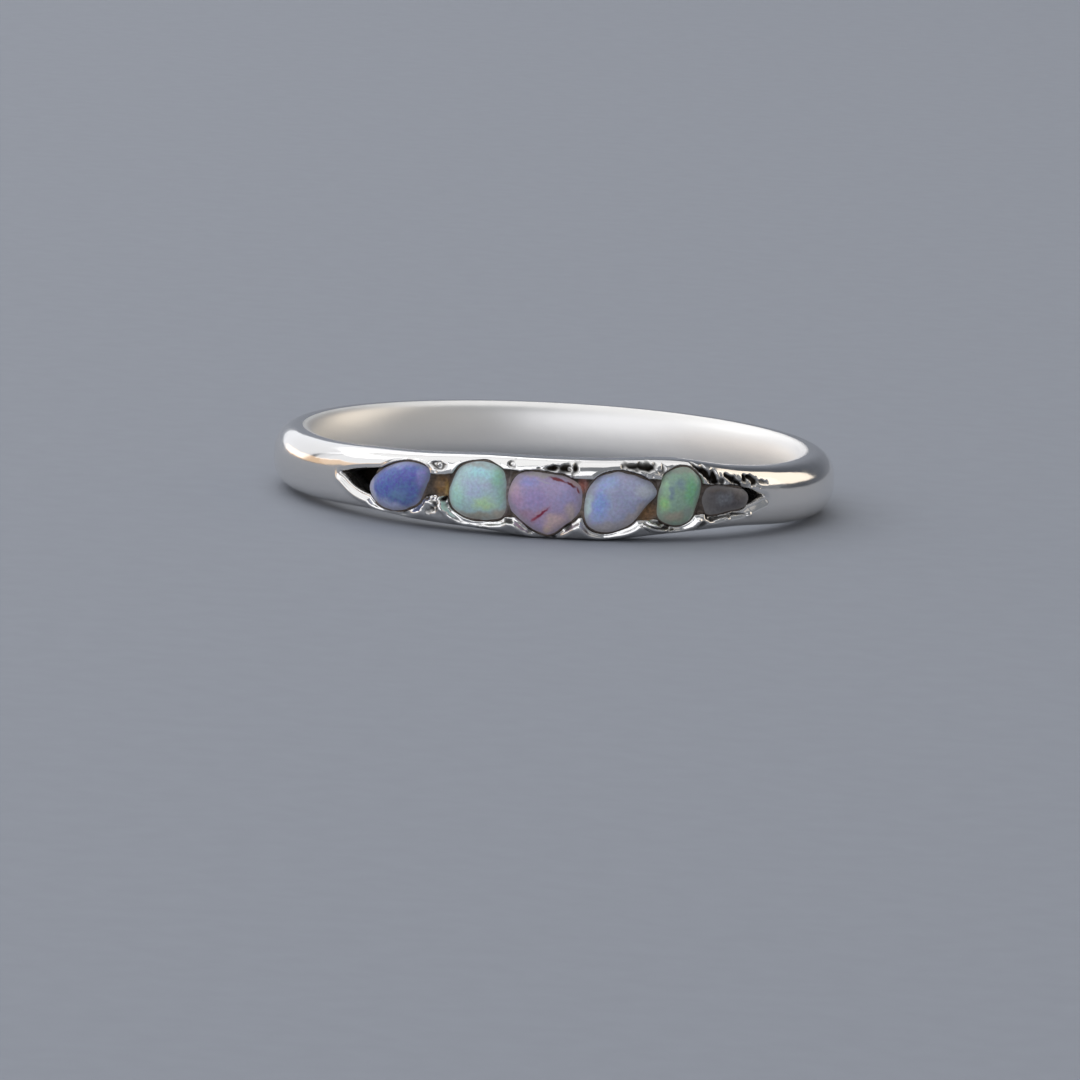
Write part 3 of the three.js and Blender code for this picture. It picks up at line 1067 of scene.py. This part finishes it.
@dataclass
class Band:
    """The silver band, with its channel, pockets, lips and rim marks, as one closed mesh."""

    TARNISH_AND_SHADE = "tarnish_and_shade"

    bore_radius: float = 8.65
    flat_inner_radius: float = 9.2
    flat_outer_radius: float = 9.45
    wall_square: float = 2.2
    wall_crest: float = 0.36  # where the inner wall is nearest the finger, as a share of its height
    floor_radius: float = 9.4
    seam: float = 0.035  # from a stone to the silver
    seam_swells: Swells = Swells(0.35, 24, 0.7)  # a share of the seam
    skin: float = 0.07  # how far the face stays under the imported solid's
    lip_rise: float = 0.03  # the thin bead that the burnisher leaves along a stone
    lip_width: float = 0.04
    bevel_depth: float = 0.06  # how far the silver slopes down to the stones
    bevel_width: float = 0.16
    low_bevel_depth: float = 0.1  # more on the lower rim
    low_bevel_width: float = 0.2
    bead_rise: float = 0.12  # the burnished roll along the lower rim
    bead_place: float = 0.24
    bead_width: float = 0.12
    shaded_tip_along: float = 6.9  # past this the channel is empty, and its floor is painted near-black as shade
    face_limit: float = 10.46  # to the front, as the stones reach a little further
    wall_start: float = 0.027  # outside the opening's edge, where its wall begins to fall
    wall_width: float = 0.045
    low_rim_from: float = 1.7  # the height where the lower rim's forms begin
    low_rim_full: float = 1.1
    bead_full: float = 6.0  # from here to its end, the roll thins out
    bead_end: float = 7.4
    hand_swells: Swells = Swells(0.6, 21, 0.4)  # a share of the bevels, lips and roll
    face_swells: tuple[Swells, ...] = (Swells(1.1, 22, 0.012), Swells(0.45, 23, 0.006))
    shaded_tip_fade: float = 0.3
    # tarnish with painted shade in the seams round the stones, as a share of the tips' near-black
    seam_tarnish_and_shade: float = 0.4
    tarnish_and_shade_from: float = 0.01  # outside the opening's edge
    tarnish_and_shade_full: float = -0.03
    worked_from: float = 0.25  # the share of the face's bulge where the hand work begins
    worked_full: float = 0.85
    fine_angle: float = 52.0
    fade_angle: float = 5.0
    fine_columns: int = 620
    back_columns: int = 90
    wall_rows: int = 18
    face_rows: int = 116
    outline_points: int = 160
    section_points: int = 400
    half_height: float = 1.25  # of a usual section, to space its points evenly
    stations: tuple[Station, ...] = (
        Station(-180, 0.0, 2.3, 10.25, 2.2),
        Station(-120, 0.0, 2.3, 10.25, 2.2),
        Station(-90, 0.14, 2.3, 10.3, 2.2),
        Station(-60, 0.24, 2.38, 10.32, 2.4),
        Station(-42, 0.34, 2.54, 10.38, 3.0),
        Station(-28, 0.24, 2.66, 10.45, 3.6),
        Station(-14, 0.16, 2.82, 10.5, 3.6),
        Station(-4, 0.0, 2.84, 10.5, 3.6),
        Station(10, 0.0, 2.86, 10.5, 3.6),
        Station(26, 0.26, 2.9, 10.48, 3.6),
        Station(42, 0.38, 2.56, 10.4, 3.0),
        Station(60, 0.24, 2.36, 10.32, 2.4),
        Station(90, 0.12, 2.3, 10.3, 2.2),
        Station(120, 0.0, 2.3, 10.25, 2.2),
    )
    channel: tuple[ChannelEdge, ...] = (
        ChannelEdge(-8.75, 1.54, 1.59),
        ChannelEdge(-8.03, 1.16, 1.76),
        ChannelEdge(-7.2, 0.94, 1.9),
        ChannelEdge(-5.8, 0.9, 2.06),
        ChannelEdge(-4.2, 1.3, 2.0),
        ChannelEdge(-2.7, 0.84, 2.34),
        ChannelEdge(-1.65, 0.74, 2.4),
        ChannelEdge(-0.3, 0.8, 2.26),
        ChannelEdge(1.12, 0.86, 2.2),
        ChannelEdge(2.4, 0.8, 2.24),
        ChannelEdge(3.9, 0.84, 2.24),
        ChannelEdge(5.7, 1.0, 2.06),
        ChannelEdge(6.8, 1.12, 1.88),
        ChannelEdge(7.8, 1.2, 1.82),
        ChannelEdge(8.72, 1.46, 1.51),
    )
    marks: tuple[RimMark, ...] = (
        RimMark(Form.PIT, -4.3, 2.36, 0.24, 0.18, 0, 0.09, 1.0),
        RimMark(Form.LUMP, -4.28, 2.37, 0.13, 0.1, 0, 0.11, -1.5),
        RimMark(Form.PIT, -1.56, 2.62, 0.18, 0.14, 0, 0.07, 1.0),
        RimMark(Form.LUMP, -1.5, 2.62, 0.09, 0.07, 0, 0.07, -1.5),
        RimMark(Form.PIT, -0.05, 2.55, 0.46, 0.17, 2, 0.1, 1.0),
        RimMark(Form.PIT, 0.4, 2.57, 0.46, 0.24, 5, 0.1, 1.0),
        RimMark(Form.PIT, 0.78, 2.6, 0.18, 0.28, 0, 0.1, 1.0),
        RimMark(Form.LUMP, 0.62, 2.56, 0.12, 0.08, 0, 0.07, -0.7),
        RimMark(Form.PIT, 2.95, 2.72, 0.42, 0.14, 2, 0.09, 1.0),
        RimMark(Form.PIT, 3.5, 2.68, 0.5, 0.24, -4, 0.1, 1.0),
        RimMark(Form.PIT, 5.42, 2.68, 0.42, 0.1, -45, 0.09, 1.0),
        RimMark(Form.PIT, 5.84, 2.38, 0.36, 0.18, -60, 0.1, 1.0),
        RimMark(Form.PIT, 6.2, 2.26, 0.22, 0.32, 15, 0.1, 1.0),
        RimMark(Form.PIT, 6.55, 2.14, 0.18, 0.15, 0, 0.08, 0.9),
        RimMark(Form.PIT, 6.9, 2.24, 0.5, 0.16, -24, 0.09, 1.0),
        RimMark(Form.PIT, 7.3, 2.04, 0.28, 0.1, -30, 0.08, 1.0),
        RimMark(Form.PIT, 7.65, 2.2, 0.2, 0.22, -20, 0.09, 1.0),
        RimMark(Form.PIT, 8.05, 2.1, 0.48, 0.18, -26, 0.09, 1.0),
        RimMark(Form.PIT, 8.5, 2.02, 0.32, 0.12, -10, 0.07, 0.8),
        RimMark(Form.GRAIN, 7.0, 2.1, 1.3, 0.34, -8, 0.03, 0.5),
        RimMark(Form.GRAIN, -4.4, 0.96, 0.8, 0.5, 6, 0.11, 0.8),
        RimMark(Form.LUMP, -5.0, 0.56, 1.4, 0.22, -2, 0.11),
        RimMark(Form.PIT, -4.0, 1.18, 0.16, 0.12, 0, 0.1, 1.0),
        RimMark(Form.GRAIN, -2.9, 0.36, 0.9, 0.2, -4, 0.025, 0.4),
        RimMark(Form.PIT, -5.1, 1.06, 0.2, 0.14, 20, 0.1, 1.0),
        RimMark(Form.LUMP, -1.3, 0.4, 0.42, 0.22, -25, 0.07),
        RimMark(Form.PIT, -1.5, 0.6, 0.2, 0.1, -20, 0.07, 0.9),
        RimMark(Form.GRAIN, -0.9, 0.4, 0.5, 0.2, -30, 0.03, 0.6),
        RimMark(Form.LUMP, 0.95, 0.42, 0.5, 0.28, -30, 0.1),
        RimMark(Form.PIT, 0.62, 0.52, 0.16, 0.09, 40, 0.06, 0.9),
        RimMark(Form.FOLD, 3.95, 0.56, 0.85, 0.3, -4, 0.05, 0.9),
        RimMark(Form.GRAIN, 5.75, 0.78, 0.6, 0.34, 35, 0.05, 0.8),
        RimMark(Form.GRAIN, 6.3, 0.9, 0.7, 0.16, 5, 0.03, 0.7),
        RimMark(Form.PIT, 6.5, 0.84, 0.8, 0.06, 5, 0.06, 0.9),
        RimMark(Form.PIT, 7.4, 0.92, 0.6, 0.05, -4, 0.05, 0.9),
        RimMark(Form.LUMP, 7.9, 0.86, 0.2, 0.14, 0, 0.08),
        RimMark(Form.LUMP, 6.9, 0.76, 0.14, 0.1, 0, 0.06),
        RimMark(Form.PIT, -0.03, 0.12, 0.26, 0.14, 0, 0.16, 1.0),
    )
    opals: tuple[Opal, ...] = OPALS

    def station(self, column: str, angle: np.ndarray) -> np.ndarray:
        """Reads a column of the stations at angles round the ring.

        Args:
            column: The column's name.
            angle: Angles from the front.

        Returns:
            The column's values.
        """
        rows = [
            (s.angle + 360 * turn, getattr(s, column)) for turn in (-1, 0, 1, 2) for s in self.stations
        ]
        places, values = np.array(rows).T
        return through(places, values, (angle + 180) % 360 - 180)

    def channel_outline(self) -> np.ndarray:
        """Returns the channel's outline, without the pockets."""
        first, last = self.channel[0], self.channel[-1]
        places = np.array([first.along - 1, *(e.along for e in self.channel), last.along + 1])
        at = np.linspace(first.along, last.along, self.outline_points)
        edges = []
        for column in ("low", "high"):
            values = [getattr(e, column) for e in (first, *self.channel, last)]
            edges.append(np.stack([at, through(places, np.array(values), at)], axis=1))
        return np.concatenate([edges[0], edges[1][::-1]])

    def opening(self, places: np.ndarray) -> np.ndarray:
        """Measures how far places are from the edge of the channel and its pockets.

        Args:
            places: The places, one row each.

        Returns:
            Distances, less than 0 in the opening.
        """
        nearest = signed_distance(places, self.channel_outline())
        seam = self.seam * (1 + self.seam_swells.at(places[:, 0], places[:, 1]))
        for opal in self.opals:
            nearest = np.minimum(nearest, signed_distance(places, opal.outline(RIM_POINTS)) - seam)
        return nearest

    def half_section(
        self, flat: float, depth: np.ndarray, square: np.ndarray, rows: int
    ) -> tuple[np.ndarray, np.ndarray]:
        """Makes half of each section, evenly spaced along its curve.

        Args:
            flat: The radius of the flat at both ends.
            depth: How far each section bulges from it.
            square: The exponent of each section's curve.
            rows: How many points a section has.

        Returns:
            The radii, and how far up the points are from -1 to 1, one row for each section.
        """
        turn = np.linspace(-math.pi / 2, math.pi / 2, self.section_points)[None]
        power = 2 / square[:, None]
        across = np.abs(np.cos(turn)) ** power
        up = np.sign(turn) * np.abs(np.sin(turn)) ** power
        radius = flat + depth[:, None] * across
        step = np.hypot(np.diff(radius, axis=1), self.half_height * np.diff(up, axis=1))
        run = np.concatenate([np.zeros((len(step), 1)), np.cumsum(step, axis=1)], axis=1)
        radii, ups = [], []
        for i in range(len(run)):
            even = np.linspace(0, run[i, -1], rows)
            radii.append(np.interp(even, run[i], radius[i]))
            ups.append(np.interp(even, run[i], up[i]))
        return np.array(radii), np.array(ups)

    def relief(self, along: np.ndarray, height: np.ndarray) -> tuple[np.ndarray, np.ndarray, np.ndarray]:
        """Works out the bevels, lips, walls, marks and hand-worked swells of the face.

        Args:
            along: Places along the face.
            height: Their heights.

        Returns:
            How far the face rises, how much of it falls to the channel's floor from 0 to 1, and how
            dark its tarnish and painted shade make it.
        """
        away = self.opening(np.stack([along, height], axis=1))
        low = smoothstep(self.low_rim_from, self.low_rim_full, height)
        uneven = 1 + self.hand_swells.at(along, height)
        depth = (self.bevel_depth + self.low_bevel_depth * low) * uneven
        width = self.bevel_width + self.low_bevel_width * low
        rise = -depth * smoothstep(width, 0.0, away)
        rise += self.lip_rise * uneven * np.exp(-(((away - self.lip_width) / self.lip_width) ** 2))
        bead = np.exp(-(((away - self.bead_place) / self.bead_width) ** 2))
        rise += self.bead_rise * low * uneven * bead * smoothstep(self.bead_end, self.bead_full, along)
        rise += sum(swells.at(along, height) for swells in self.face_swells)
        # Painted shade: the silver in the opening darkens part way in the seams round the stones, where
        # it is also tarnish, and to near black in the channel's empty tips.
        shaded_tip = smoothstep(self.shaded_tip_along - self.shaded_tip_fade, self.shaded_tip_along + self.shaded_tip_fade, np.abs(along))
        tarnish_and_shade = self.seam_tarnish_and_shade + (1 - self.seam_tarnish_and_shade) * shaded_tip
        tarnish_and_shade *= smoothstep(self.tarnish_and_shade_from, self.tarnish_and_shade_full, away)
        for mark in self.marks:
            lift, dark = mark.apply(along, height)
            rise += lift
            tarnish_and_shade = np.where(dark < 0, np.maximum(0, tarnish_and_shade + dark), np.maximum(tarnish_and_shade, dark))
        fall = smoothstep(self.wall_start, -self.wall_width, away)
        return rise, fall, tarnish_and_shade

    def build(self) -> bpy.types.Object:
        """Builds the band and dresses it in silver.

        Returns:
            The band.
        """
        fine = np.linspace(-self.fine_angle, self.fine_angle, self.fine_columns, endpoint=False)
        back = np.linspace(self.fine_angle, 360 - self.fine_angle, self.back_columns, endpoint=False)
        angle = np.concatenate([fine, back])
        low = np.maximum(0, self.station("low", angle))[:, None]
        high = self.station("high", angle)[:, None]
        bulge = self.station("outer", angle) - self.flat_outer_radius - self.skin
        face, face_up = self.half_section(
            self.flat_outer_radius, bulge, self.station("square", angle), self.face_rows
        )
        bow = np.full(len(angle), self.bore_radius - self.flat_inner_radius)
        wall, wall_up = self.half_section(
            self.flat_inner_radius, bow, np.full(len(angle), self.wall_square), self.wall_rows
        )
        along = np.radians(angle)[:, None] * FACE_RADIUS
        height = (low + high) / 2 + (high - low) / 2 * face_up
        crest = low + self.wall_crest * (high - low)
        wall_height = crest + np.where(wall_up < 0, crest - low, high - crest) * wall_up
        tarnish_and_shade = np.zeros_like(face)
        front = slice(0, self.fine_columns)
        flat_along = np.broadcast_to(along[front], face[front].shape).ravel()
        rise, fall, dark = (
            v.reshape(face[front].shape) for v in self.relief(flat_along, height[front].ravel())
        )
        share = (face[front] - self.flat_outer_radius) / bulge[front, None]
        upright = smoothstep(self.worked_from, self.worked_full, share)
        fade_from = self.fine_angle - self.fade_angle
        ends = smoothstep(self.fine_angle, fade_from, np.abs(angle[front]))[:, None]
        limit = self.face_limit / np.cos(np.radians(angle[front]))[:, None]
        worked = np.minimum(face[front] + rise * upright * ends, limit)
        floor = np.minimum(worked, self.floor_radius)
        face[front] = worked + (floor - worked) * fall
        tarnish_and_shade[front] = dark * upright
        radius = np.concatenate([face, wall[:, ::-1]], axis=1)
        heights = np.concatenate([height, wall_height[:, ::-1]], axis=1)
        marks = np.concatenate([tarnish_and_shade, np.zeros_like(wall)], axis=1)
        points = on_face(np.broadcast_to(along, radius.shape), heights, radius).reshape(-1, 3)
        faces = grid_faces(len(angle), radius.shape[1], True, True)
        piece = make_piece("silver_band", points, [f[::-1] for f in faces], PolishedSilver().material())
        # The attribute holds the sulphide and the painted shade of the seams and the channel's tips.
        layer = piece.data.attributes.new(self.TARNISH_AND_SHADE, "FLOAT", "POINT")
        layer.data.foreach_set("value", marks.ravel().astype(np.float32))
        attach(piece, ROOT)
        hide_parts("band")
        return piece


@dataclass
class ResinBed:
    """The resin on the channel's floor, which climbs the stones' sides and fills the seams."""

    band: Band
    start: float = -7.28
    end: float = 7.86
    columns: int = 420
    rows: int = 40
    base_radius: float = 9.45
    top_radius: float = 10.04
    climb: float = 0.16  # up the side of a stone
    climb_width: float = 0.12
    swells: Swells = Swells(0.3, 31, 0.035)
    end_depth: float = 0.1  # of the thin ends
    end_length: float = 0.35
    overlap: float = 0.01  # under the silver's edge
    top_height: float = 3.0  # over the band's upper edge
    edge_steps: int = 240

    def build(self) -> bpy.types.Object:
        """Builds the bed as a closed mesh, from edge to edge of the opening.

        Returns:
            The bed.
        """
        along = np.linspace(self.start, self.end, self.columns)
        low, high = self.edges(along)
        share = np.linspace(0, 1, self.rows)
        height = low[:, None] + (high - low)[:, None] * share[None]
        places = np.stack([np.broadcast_to(along[:, None], height.shape).ravel(), height.ravel()], axis=1)
        nearest = np.full(len(places), np.inf)
        for opal in self.band.opals:
            nearest = np.minimum(nearest, np.abs(signed_distance(places, opal.outline(RIM_POINTS))))
        top = self.top_radius + self.climb * np.exp(-((nearest / self.climb_width) ** 2))
        top += self.swells.at(places[:, 0], places[:, 1])
        ends = np.minimum(along - self.start, self.end - along)[:, None]
        top = top.reshape(height.shape)
        end_radius = self.base_radius + self.end_depth
        top = end_radius + (top - end_radius) * smoothstep(0.0, self.end_length, ends)
        bottom = np.full_like(top, self.base_radius)
        radius = np.concatenate([top, bottom[:, ::-1]], axis=1)
        heights = np.concatenate([height, height[:, ::-1]], axis=1)
        points = on_face(np.broadcast_to(along[:, None], radius.shape), heights, radius).reshape(-1, 3)
        ring = 2 * self.rows
        faces = [f[::-1] for f in grid_faces(self.columns, ring, False, True)]
        for j in range(self.rows - 1):
            faces.append([j, j + 1, ring - 2 - j, ring - 1 - j])
            faces.append([f + (self.columns - 1) * ring for f in faces[-1][::-1]])
        piece = make_piece("bedding_resin", points, faces, CuredResin().material())
        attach(piece, ROOT)
        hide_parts("resin_bed")
        return piece

    def edges(self, along: np.ndarray) -> tuple[np.ndarray, np.ndarray]:
        """Finds the opening's edges, with the overlap under the silver.

        Args:
            along: Places along the face.

        Returns:
            The lower and the upper edge at each place.
        """
        heights = np.linspace(0.0, self.top_height, self.edge_steps)
        places = np.stack(np.meshgrid(along, heights, indexing="ij"), axis=-1).reshape(-1, 2)
        inside = (self.band.opening(places) < self.overlap).reshape(len(along), len(heights))
        low = heights[inside.argmax(axis=1)]
        high = heights[len(heights) - 1 - inside[:, ::-1].argmax(axis=1)]
        return low, high


# The studio


@dataclass(frozen=True)
class SoftBox:
    """A soft area light that points at the ring."""

    name: str
    place: tuple[float, float, float]  # metres
    width: float
    depth: float
    watts: float
    colour: str = "#ffffff"

    def build(self) -> None:
        """Hangs the light."""
        lamp = bpy.data.lights.new(self.name, "AREA")
        lamp.shape = "RECTANGLE"
        lamp.size, lamp.size_y = self.width, self.depth
        lamp.energy = self.watts
        lamp.color = linear(self.colour)[:3]
        light = bpy.data.objects.new(self.name, lamp)
        light.location = self.place
        light.rotation_euler = (-Vector(self.place)).to_track_quat("-Z", "Y").to_euler()
        bpy.context.scene.collection.objects.link(light)


@dataclass
class Studio:
    """A plain floor that curves up behind the ring, soft boxes and the camera."""

    elevation: float = 8.0
    roll: float = 3.0
    distance: float = 0.3
    pixels_per_mm: float = 27.4  # at the ring's middle, in the photograph
    frame_pixels: int = 1080
    sensor_width: float = 36.0
    ring_pixel: tuple[float, float] = (554.0, 466.0)  # where the ring's middle is
    ring_middle: tuple[float, float, float] = (0.0, 0.0, 0.0012)
    floor_colour: str = "#92969e"
    floor_roughness: float = 0.75
    fibre_scale: float = 900.0
    fibre_contrast: float = 0.02
    floor_front: float = 1.2  # metres, as its other sizes are
    floor_back: float = 0.45
    floor_side: float = 1.5
    cove_radius: float = 0.25
    cove_step: int = 6  # degrees
    backdrop_height: float = 1.2
    sky_colour: str = "#a7adb6"
    sky_strength: float = 0.5
    boxes: tuple[SoftBox, ...] = (
        SoftBox("overhead_box", (-0.1, 0.12, 0.46), 0.9, 0.8, 1.85, "#fbfcff"),
        SoftBox("front_box", (-0.24, -0.58, 0.31), 1.08, 0.58, 2.1, "#f6f8ff"),
        SoftBox("front_right_box", (0.56, -0.38, 0.3), 0.44, 0.4, 0.15, "#fff6ec"),
        SoftBox("left_box", (-0.66, 0.05, 0.33), 0.7, 0.46, 0.78, "#f8faff"),
        SoftBox("back_left_box", (-0.3, 0.5, 0.25), 0.62, 0.5, 0.82, "#f8faff"),
        SoftBox("left_warm_card", (-0.53, 0.14, 0.05), 1.3, 0.09, 0.26, "#ffd9b0"),
        SoftBox("right_warm_card", (0.48, 0.26, 0.26), 0.42, 0.4, 0.6, "#fff3e2"),
    )

    def build(self) -> None:
        """Sets up the floor, the lights and the camera."""
        self.build_floor()
        for box in self.boxes:
            box.build()
        world = bpy.data.worlds.new("studio_air")
        world.use_nodes = True
        background = world.node_tree.nodes["Background"]
        background.inputs["Color"].default_value = linear(self.sky_colour)
        background.inputs["Strength"].default_value = self.sky_strength
        bpy.context.scene.world = world
        bpy.context.scene.view_settings.view_transform = "Standard"
        self.build_camera()

    def build_floor(self) -> None:
        """Lays a matt paper floor that curves up far behind the ring."""
        material, tree = new_material("studio_paper_matt")
        seen = add_node(tree, "TexCoord").outputs["Object"]
        fibre = add_node(tree, "TexNoise", {"Vector": seen, "Scale": self.fibre_scale, "Detail": 4.0})
        level = add_node(
            tree,
            "MapRange",
            {
                "Value": fibre.outputs["Fac"],
                1: NOISE_LOW,
                2: NOISE_HIGH,
                3: 1 - self.fibre_contrast,
                4: 1 + self.fibre_contrast,
            },
        )
        shade = add_node(
            tree, "HueSaturation", {"Value": level.outputs[0], "Color": linear(self.floor_colour)}
        )
        shader = add_node(
            tree, "BsdfPrincipled", {"Base Color": shade.outputs[0], "Roughness": self.floor_roughness}
        )
        add_node(tree, "OutputMaterial", {"Surface": shader.outputs[0]})
        run = [(-self.floor_front, 0.0)]
        for a in np.radians(range(0, 91, self.cove_step)):
            rise = self.cove_radius * (1 - math.cos(a))
            run.append((self.floor_back + self.cove_radius * math.sin(a), rise))
        run.append((self.floor_back + self.cove_radius, self.backdrop_height))
        points = np.array([(x * self.floor_side, y, z) for y, z in run for x in (-1, 1)])
        floor = make_piece("studio_floor", points, grid_faces(len(run), 2, False, False), material)
        for face in floor.data.polygons:
            if face.normal.z < 0 or face.normal.y > 0:
                face.flip()

    def build_camera(self) -> None:
        """Aims the camera so that the ring's middle falls on its pixel."""
        up_angle, roll = math.radians(self.elevation), math.radians(self.roll)
        focal_pixels = self.pixels_per_mm * self.distance / MM
        data = bpy.data.cameras.new("photo_camera")
        data.sensor_width = self.sensor_width
        data.lens = data.sensor_width * focal_pixels / self.frame_pixels
        data.clip_start, data.clip_end = 0.01, 10.0
        camera = bpy.data.objects.new("photo_camera", data)
        back = Vector((0.0, -math.cos(up_angle), math.sin(up_angle)))
        right = Vector((1.0, 0.0, 0.0))
        up = back.cross(right)
        turned = Matrix((right, up, back)).transposed() @ Matrix.Rotation(roll, 3, "Z")
        middle = self.frame_pixels / 2
        over, above = self.ring_pixel[0] - middle, middle - self.ring_pixel[1]
        to_ring = Vector((over / focal_pixels, above / focal_pixels, -1.0))
        aim = to_ring.rotation_difference(Vector((0.0, 0.0, -1.0))).to_matrix()
        place = Vector(self.ring_middle) + back * self.distance
        camera.matrix_world = Matrix.Translation(place) @ (turned @ aim).to_4x4()
        bpy.context.scene.collection.objects.link(camera)
        bpy.context.scene.camera = camera


def main() -> None:
    """Builds the ring and its studio, and reports each piece."""
    logging.basicConfig(level=logging.INFO, format="%(message)s")
    band = Band()
    pieces = [band.build(), ResinBed(band).build(), *(opal.build() for opal in OPALS)]
    for piece in pieces:
        log.info("%s: %d faces", piece.name, len(piece.data.polygons))
    Studio().build()


if __name__ == "__main__":
    main()
